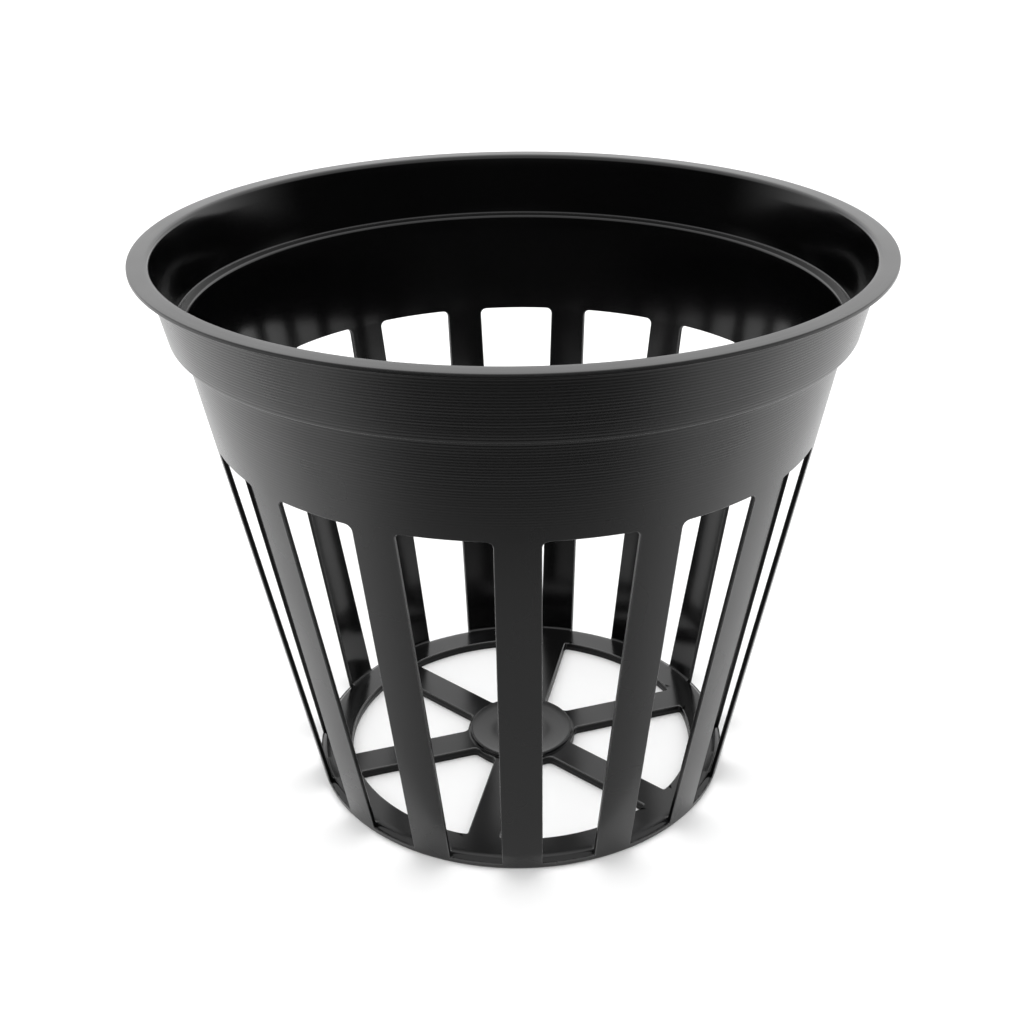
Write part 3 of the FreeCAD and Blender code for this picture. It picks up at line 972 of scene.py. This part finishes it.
    def _hub(self, skin: Skin) -> None:
        """The hub's raised disc with its lip and dish, and its flat underside, each to a pole.

        The dish's wall is a circle's arc from the lip's inner edge that ends level in the flat
        middle: its radius is (across squared plus depth squared) over twice the depth.
        """
        s = self.sizes
        azimuth = self.columns.by_hub(self.hub_angle())[None, :]
        dish = s.disc_radius - s.lip_width
        across = dish - s.dish_flat
        bowl = (across**2 + s.dish_depth**2) / (2 * s.dish_depth)
        entry = math.asin(across / bowl)
        lead = np.asarray((dish, s.disc_top)) - 0.8 * np.asarray((math.cos(entry), math.sin(entry)))
        rise, _ = rounded_profile(
            ((s.hub_radius, s.floor_thick), (s.disc_radius, s.floor_thick), (s.disc_radius, s.disc_top),
             (dish, s.disc_top), tuple(lead)),
            (0.1, self.disc_round, self.lip_round), 5, (1, 1, 1, 1))
        angle = np.linspace(math.asin((rise[-1, 0] - s.dish_flat) / bowl), 0, 9)[1:]
        arc = np.stack((s.dish_flat + bowl * np.sin(angle),
                        s.disc_top - s.dish_depth + bowl * (1 - np.cos(angle))), axis=-1)
        flat = np.stack((np.linspace(s.dish_flat, 0, 5)[1:], np.full(4, arc[-1, 1])), axis=-1)
        chain = np.concatenate((rise, arc, flat))
        skin.add(turned(chain[:, :1], chain[:, 1:], azimuth), Zone.FLOOR)
        under = np.linspace(s.hub_radius, 0, 7)[:, None]
        skin.add(turned(under, np.asarray(0.0), azimuth), Zone.UNDER)

    def build(self, skin: Skin) -> None:
        """Adds the foot of the wall and the whole floor."""
        s = self.sizes
        sill_radius = s.wall_outside(s.slot_sill)
        foot, _ = rounded_profile(
            ((sill_radius, s.slot_sill), (s.base_radius, 0.0), (s.base_radius - 1.2, 0.0)),
            (self.base_round,), 6, (2, 1))
        half_slot = float(self.slot.angle(np.asarray(sill_radius), np.asarray(s.slot_sill)))
        azimuth = self.columns.by_bars(np.full(len(foot), half_slot))
        marks = np.zeros((len(foot), self.columns.total + 1), int)
        marks[0, self.columns.on_slot()] = int(Line.SLOT_OUTER)
        zones = np.full(len(foot) - 1, Zone.OUTSIDE.value)
        zones[-3:] = Zone.UNDER.value
        skin.add(turned(foot[:, :1], foot[:, 1:], azimuth), zones, marks)
        self._ring(skin, foot[-1, 0], half_slot, 0.0, Zone.UNDER, Line.WINDOW_FOOT)
        top_half = float(self.slot.angle(np.asarray(self.foot_start), np.asarray(s.floor_thick)))
        self._ring(skin, self.foot_start, top_half, s.floor_thick, Zone.FLOOR, Line.WINDOW_TOP)
        self._spokes(skin, s.floor_thick, Zone.FLOOR, Line.WINDOW_TOP)
        self._spokes(skin, 0.0, Zone.UNDER, Line.WINDOW_FOOT)
        self._windows(skin)
        self._hub(skin)


# Finishes ------------------------------------------------------------------------------------


NodeInput = Union["Reading", bpy.types.NodeSocket, float, Sequence[float]]


class Reading:
    """A number that changes over a surface, so that sums on it add Math nodes."""

    def __init__(self, graph: "Graph", socket: bpy.types.NodeSocket) -> None:
        """Wraps a socket of a graph."""
        self.graph = graph
        self.socket = socket

    def _math(self, operation: str, *values: NodeInput) -> "Reading":
        """Adds a Math node of an operation with its inputs, and returns its result."""
        node = self.graph.add("ShaderNodeMath", {"operation": operation}, dict(enumerate(values)))
        return Reading(self.graph, node.outputs[0])

    def __add__(self, other: NodeInput) -> "Reading":
        """Sum."""
        return self._math("ADD", self, other)

    __radd__ = __add__

    def __sub__(self, other: NodeInput) -> "Reading":
        """Difference."""
        return self._math("SUBTRACT", self, other)

    def __rsub__(self, other: NodeInput) -> "Reading":
        """Difference from a value."""
        return self._math("SUBTRACT", other, self)

    def __mul__(self, other: NodeInput) -> "Reading":
        """Product."""
        return self._math("MULTIPLY", self, other)

    __rmul__ = __mul__

    def __truediv__(self, other: NodeInput) -> "Reading":
        """Quotient."""
        return self._math("DIVIDE", self, other)

    def __pow__(self, other: NodeInput) -> "Reading":
        """Power."""
        return self._math("POWER", self, other)

    def sine(self) -> "Reading":
        """Sine."""
        return self._math("SINE", self)

    def between(self, low: float, high: float) -> "Reading":
        """Rises smoothly from 0 at the low value to 1 at the high one."""
        node = self.graph.add("ShaderNodeMapRange", {"interpolation_type": "SMOOTHSTEP"},
                              {0: self, 1: low, 2: high, 3: 0.0, 4: 1.0})
        return Reading(self.graph, node.outputs[0])


class Graph:
    """A node tree that is filled node by node."""

    def __init__(self, tree: bpy.types.NodeTree) -> None:
        """Empties a tree and takes it over."""
        self.tree = tree
        tree.nodes.clear()

    def add(self, kind: str, settings: dict[str, Any],
            inputs: dict[Union[int, str], NodeInput]) -> bpy.types.Node:
        """Adds any node.

        Args:
            kind: The node's type.
            settings: Its properties, set first.
            inputs: A value or a link for each named or numbered socket.

        Returns:
            The node.
        """
        node = self.tree.nodes.new(kind)
        for name, value in settings.items():
            setattr(node, name, value)
        for key, value in inputs.items():
            source = value.socket if isinstance(value, Reading) else value
            if isinstance(source, bpy.types.NodeSocket):
                self.tree.links.new(source, node.inputs[key])
            else:
                node.inputs[key].default_value = source
        return node

    def reading(self, node: bpy.types.Node, output: Union[int, str] = 0) -> Reading:
        """One output of a node as a reading."""
        return Reading(self, node.outputs[output])


@dataclass(frozen=True)
class MouldedFinish:
    """Black plastic as one surface of the mould leaves it.

    Attributes:
        name: Name of the material.
        colour: Colour of the plastic.
        colour_change: Share by which the colour changes in soft patches.
        roughness: Roughness of the clean surface.
        roughness_change: How much the roughness changes in soft patches.
        specular: Specular level.
        grain: Depth of the fine grain, in millimetres.
        grain_size: Size of the grain, in millimetres.
        wave: Depth of the soft unevenness, in millimetres.
        wave_size: Size of the unevenness, in millimetres.
        turning: Depth of the lines that turning left in the mould, in millimetres.
        turning_pitch: Distance between those lines, in millimetres.
        turning_low: Height at which the lines start to show, in millimetres.
        turning_high: Height from which they show in full.
        rings: Depth of fine rings round the axis, in millimetres.
        scuff: Grey that the worn patches add to the colour.
    """

    name: str
    colour: tuple[float, float, float] = (0.0012, 0.0012, 0.0013)
    colour_change: float = 0.15
    roughness: float = 0.35
    roughness_change: float = 0.05
    specular: float = 0.5
    grain: float = 0.0
    grain_size: float = 0.4
    wave: float = 0.0
    wave_size: float = 9.0
    turning: float = 0.0
    turning_pitch: float = 0.44
    turning_low: float = 0.0
    turning_high: float = 1.0
    rings: float = 0.0
    scuff: float = 0.0

    def _noise(self, graph: Graph, place: NodeInput, size: float, detail: float = 2.0) -> Reading:
        """Soft noise whose lumps are about one size in millimetres, in metres of object space."""
        node = graph.add("ShaderNodeTexNoise", {"noise_dimensions": "3D"},
                         {"Vector": place, "Scale": 1 / (size * MM), "Detail": detail,
                          "Roughness": 0.5})
        return graph.reading(node, 0)

    def _lines(self, graph: Graph, along: Reading, pitch: float, detail: float = 1.0) -> Reading:
        """Noise along one coordinate: uneven lines at a pitch in millimetres."""
        node = graph.add("ShaderNodeTexNoise", {"noise_dimensions": "1D"},
                         {"W": along * (1 / (pitch * MM)), "Scale": 1.0, "Detail": detail,
                          "Roughness": 0.6})
        return graph.reading(node, 0)

    def material(self) -> bpy.types.Material:
        """Builds the material.

        The surface's height is the sum of the grain, the unevenness, the turning lines by height
        and the rings by radius, in millimetres, and goes through one Bump node.

        Returns:
            The material.
        """
        material = bpy.data.materials.new(self.name)
        material.use_nodes = True
        graph = Graph(material.node_tree)
        place = graph.add("ShaderNodeTexCoord", {}, {}).outputs["Object"]
        parts = graph.add("ShaderNodeSeparateXYZ", {}, {0: place})
        x, y, z = (graph.reading(parts, axis) for axis in range(3))
        patches = self._noise(graph, place, 14.0)
        height = (self._noise(graph, place, self.grain_size) - 0.5) * self.grain
        if self.wave:
            height = height + (self._noise(graph, place, self.wave_size, 1.0) - 0.5) * self.wave
        if self.turning:
            shown = z.between(self.turning_low * MM, self.turning_high * MM)
            even = (z * (2 * math.pi / (self.turning_pitch * MM))).sine() * 0.5
            uneven = self._lines(graph, z, self.turning_pitch) - 0.5
            height = height + (even + uneven) * shown * self.turning
        rough = (patches - 0.5) * (2 * self.roughness_change) + self.roughness
        tint = (patches - 0.5) * (2 * self.colour_change) + 1.0
        if self.rings or self.scuff:
            radius = (x * x + y * y) ** 0.5
            worn = self._noise(graph, place, 11.0, 3.0).between(0.5, 0.68)
            rings = self._lines(graph, radius, 0.35, 2.0)
            height = height + (rings - 0.5) * worn * self.rings
            rough = rough + rings * worn * (self.scuff * 3)
            tint = tint + rings * worn * (self.scuff / self.colour[1])
        shade = graph.add("ShaderNodeVectorMath", {"operation": "SCALE"}, {0: self.colour, "Scale": tint})
        bump = graph.add("ShaderNodeBump", {}, {"Strength": 1.0, "Distance": MM, "Height": height})
        plastic = graph.add("ShaderNodeBsdfPrincipled", {}, {
            "Base Color": shade.outputs[0], "Roughness": rough, "IOR": 1.5,
            "Specular IOR Level": self.specular, "Normal": bump.outputs[0]})
        graph.add("ShaderNodeOutputMaterial", {}, {"Surface": plastic.outputs[0]})
        return material


def finishes(sizes: PotSizes) -> dict[Zone, MouldedFinish]:
    """The finish of each zone of the pot.

    Args:
        sizes: The pot's sizes.

    Returns:
        The finishes.
    """
    return {
        Zone.OUTSIDE: MouldedFinish(
            "satin_outside", roughness=0.28, specular=0.58, grain=0.004, turning=0.014,
            turning_low=sizes.slot_head - 4, turning_high=sizes.step_height),
        Zone.RIM: MouldedFinish("satin_rim", roughness=0.3, specular=0.42, grain=0.003, rings=0.006),
        Zone.INSIDE: MouldedFinish(
            "polished_inside", roughness=0.13, specular=0.35, grain=0.0008, wave=0.03),
        Zone.FLOOR: MouldedFinish(
            "polished_floor", roughness=0.18, specular=0.3, grain=0.001, wave=0.02,
            rings=0.012, scuff=0.012),
        Zone.CUT: MouldedFinish("cut_edge", roughness=0.3, specular=0.2, grain=0.003),
        # Painted highlight: the rounded edges get a plastic ten times lighter and glossier than the rest,
        # so that they show thin bright lines.
        Zone.EDGE: MouldedFinish(
            "painted_highlight_edge", colour=(0.012, 0.012, 0.012), roughness=0.2, specular=0.9, grain=0.002),
        Zone.UNDER: MouldedFinish("satin_underside", roughness=0.32, grain=0.004),
    }


@dataclass
class NetPot:
    """The whole pot as one piece.

    Attributes:
        sizes: The pot's sizes.
        node: The frame's node that it stands for.
        slot: The record's material slot of that node; not used.
        fine_round: Rounding of the rounded lines at full weight, in millimetres.
    """

    sizes: PotSizes
    node: str = "net_pot"
    slot: str = "pot"
    fine_round: float = 0.2

    def build(self) -> bpy.types.Object:
        """Builds the skin, rounds its fine edges and dresses its zones.

        Returns:
            The piece.
        """
        columns, slot = Columns(self.sizes), SlotOutline(self.sizes)
        basket = Basket(self.sizes, columns, slot)
        skin = Skin()
        UpperBody(self.sizes, columns, slot).build(skin)
        basket.build(skin)
        FloorPlate(self.sizes, columns, slot, foot_start=float(basket.foot()[0, 0])).build(skin)
        weights = {Line.SLOT_OUTER: 0.9, Line.SLOT_INNER: 0.7,
                   Line.WINDOW_TOP: 1.0, Line.WINDOW_FOOT: 0.6}
        mesh = skin.to_mesh("moulded_pot", weights)
        dress = finishes(self.sizes)
        for zone in Zone:
            mesh.materials.append(dress[zone].material())
        piece = bpy.data.objects.new("moulded_pot", mesh)
        bpy.context.scene.collection.objects.link(piece)
        bevel = piece.modifiers.new("fine_round", "BEVEL")
        bevel.limit_method, bevel.width, bevel.segments = "WEIGHT", self.fine_round * MM, 2
        # The rounded edges' faces take the EDGE zone, whose lighter colour is a painted highlight.
        bevel.use_clamp_overlap, bevel.harden_normals, bevel.material = False, True, Zone.EDGE.value
        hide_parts(self.node)
        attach(piece, "root")
        return piece


# Stage ---------------------------------------------------------------------------------------


@dataclass(frozen=True)
class Studio:
    """A pale floor, soft light from above and behind, a glowing card that paints shade into reflections,
    and the camera.

    Attributes:
        floor_size: Side of the floor, in metres.
        floor_colour: Colour of the floor.
        low_front: Brightness near the horizon behind the camera.
        low_back: Brightness near the horizon behind the pot.
        high_front: Brightness above the camera's side.
        high_back: Brightness above the far side.
        card_near: Distance from the pot's axis to the dark card's near edge, in metres.
        card_size: Width and length of the dark card, in metres.
        card_light: Brightness of the dark card near the pot.
        card_far: Its brightness far from the pot.
        card_edge: Its brightness towards both sides.
        card_aside: Where it starts and ends to fade aside, as a distance aside over one in front.
        card_ahead: Where it is darkest and where it is lightest along the middle, in metres.
        low_span: Where the light near the horizon starts and ends to change, as a direction's y.
        high_span: The same for the light above.
        rise_span: Where the one goes over into the other, as a direction's z.
        lens: Focal length in millimetres, on a sensor 36 mm wide.
        shift: The lens's shift, as a share of the sensor's width.
        stand: The camera's place seen from the middle of the pot's base, in metres.
        aim: The camera's turn about x, y and z, in radians.
    """

    floor_size: float = 8.0
    floor_colour: tuple[float, float, float] = (0.93, 0.93, 0.93)
    low_front: float = 0.03
    low_back: float = 1.55
    high_front: float = 1.5
    high_back: float = 2.0
    card_near: float = 0.037
    card_size: tuple[float, float] = (0.8, 0.36)
    card_light: float = 0.5
    card_far: float = 0.1
    card_edge: float = 1.0
    card_aside: tuple[float, float] = (0.45, 1.7)
    card_ahead: tuple[float, float] = (-0.135, -0.085)
    low_span: tuple[float, float] = (-0.2, 0.6)
    high_span: tuple[float, float] = (-0.6, 0.6)
    rise_span: tuple[float, float] = (0.25, 0.6)
    lens: float = 50.06
    shift: tuple[float, float] = (-0.0287, -0.0008)
    stand: tuple[float, float, float] = (0.0006, -0.21087, 0.15215)
    aim: tuple[float, float, float] = (1.10215, 0.00481, -0.01779)

    def _sheet(self, name: str, low: Vector, high: Vector, steps: int) -> bpy.types.Object:
        """A level square sheet of quads between two corners, which belongs to the stage.

        Args:
            name: Name of the sheet.
            low: Its lowest corner, in metres.
            high: Its highest corner, at the same height.
            steps: Quads along each side.

        Returns:
            The sheet.
        """
        x, y = np.meshgrid(
            np.linspace(low.x, high.x, steps + 1), np.linspace(low.y, high.y, steps + 1))
        points = np.stack((x, y, np.full(x.shape, low.z)), axis=-1).reshape(-1, 3)
        number = np.arange(points.shape[0]).reshape(x.shape)
        quads = grid_quads(number)
        mesh = bpy.data.meshes.new(name)
        mesh.from_pydata(points, [], quads.reshape(-1, 4).tolist())
        sheet = bpy.data.objects.new(name, mesh)
        bpy.context.scene.collection.objects.link(sheet)
        return sheet

    def floor(self, height: float) -> bpy.types.Object:
        """The pale floor at a height in metres."""
        half = self.floor_size / 2
        low, high = Vector((-half, -half, height)), Vector((half, half, height))
        floor = self._sheet("studio_floor", low, high, 8)
        material = bpy.data.materials.new("pale_floor")
        material.use_nodes = True
        graph = Graph(material.node_tree)
        shade = graph.add("ShaderNodeBsdfDiffuse", {}, {"Color": (*self.floor_colour, 1.0)})
        graph.add("ShaderNodeOutputMaterial", {}, {"Surface": shade.outputs[0]})
        floor.data.materials.append(material)
        return floor

    def card(self, centre: Vector) -> bpy.types.Object:
        """A dark card on the floor before the pot, seen only in reflections: it glows, and paints into
        them the shade that the camera casts on the floor before the pot.

        It is darkest far in front, and fades to the floor's brightness towards both sides: the
        share is the distance aside over the distance in front.

        Args:
            centre: Middle of the pot's base, in metres.

        Returns:
            The card.
        """
        width, length = self.card_size
        near = centre.y - self.card_near
        low = Vector((centre.x - width / 2, near - length, centre.z + 0.001))
        card = self._sheet("painted_shade_card", low, Vector((centre.x + width / 2, near, low.z)), 1)
        card.visible_camera = card.visible_diffuse = card.visible_shadow = False
        material = bpy.data.materials.new("painted_shade_card")
        material.use_nodes = True
        graph = Graph(material.node_tree)
        place = graph.add("ShaderNodeTexCoord", {}, {}).outputs["Object"]
        parts = graph.add("ShaderNodeSeparateXYZ", {}, {0: place})
        x, y = graph.reading(parts, 0), graph.reading(parts, 1)
        aside = ((x * x) ** 0.5 / (y * -1.0)).between(*self.card_aside)
        nearness = y.between(*self.card_ahead)
        middle = nearness * (self.card_light - self.card_far) + self.card_far
        light = middle + (self.card_edge - middle) * aside
        # Painted shade in reflections: the card glows, dimmest far in front and as bright as the floor
        # towards the sides.
        shade = graph.add("ShaderNodeEmission", {}, {"Color": WHITE, "Strength": light})
        graph.add("ShaderNodeOutputMaterial", {}, {"Surface": shade.outputs[0]})
        card.data.materials.append(material)
        return card

    def surroundings(self) -> None:
        """Light by direction: it goes from front to back near the horizon, and again above it."""
        world = bpy.data.worlds.new("studio")
        bpy.context.scene.world = world
        world.use_nodes = True
        graph = Graph(world.node_tree)
        way = graph.add("ShaderNodeTexCoord", {}, {}).outputs["Generated"]
        parts = graph.add("ShaderNodeSeparateXYZ", {}, {0: way})
        y, z = graph.reading(parts, 1), graph.reading(parts, 2)
        low = y.between(*self.low_span) * (self.low_back - self.low_front) + self.low_front
        high = y.between(*self.high_span) * (self.high_back - self.high_front) + self.high_front
        strength = low + (high - low) * z.between(*self.rise_span)
        light = graph.add("ShaderNodeBackground", {}, {"Color": WHITE, "Strength": strength})
        graph.add("ShaderNodeOutputWorld", {}, {"Surface": light.outputs[0]})

    def camera(self, centre: Vector) -> bpy.types.Object:
        """The camera: from the front and above, a hand's width over the rim.

        Args:
            centre: Middle of the pot's base, in metres.

        Returns:
            The camera.
        """
        data = bpy.data.cameras.new("camera")
        data.sensor_width, data.lens = 36.0, self.lens
        data.shift_x, data.shift_y = self.shift
        data.clip_start, data.clip_end = 0.01, 50.0
        camera = bpy.data.objects.new("camera", data)
        camera.location = centre + Vector(self.stand)
        camera.rotation_euler = self.aim
        bpy.context.scene.collection.objects.link(camera)
        bpy.context.scene.camera = camera
        return camera


def main() -> None:
    """Builds the stage and the pot."""
    logging.basicConfig(level=logging.INFO, format="%(name)s: %(message)s")
    low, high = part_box("net_pot")
    centre = Vector(((low.x + high.x) / 2, (low.y + high.y) / 2, low.z))
    studio = Studio()
    studio.camera(centre)
    studio.surroundings()
    studio.floor(low.z)
    studio.card(centre)
    bpy.context.scene.view_settings.view_transform = "Standard"
    sizes = PotSizes.from_frame("net_pot")
    piece = NetPot(sizes).build()
    LOG.info("%s rides on root, %.1f mm high", piece.name, sizes.pot_height)


if __name__ == "__main__":
    main()
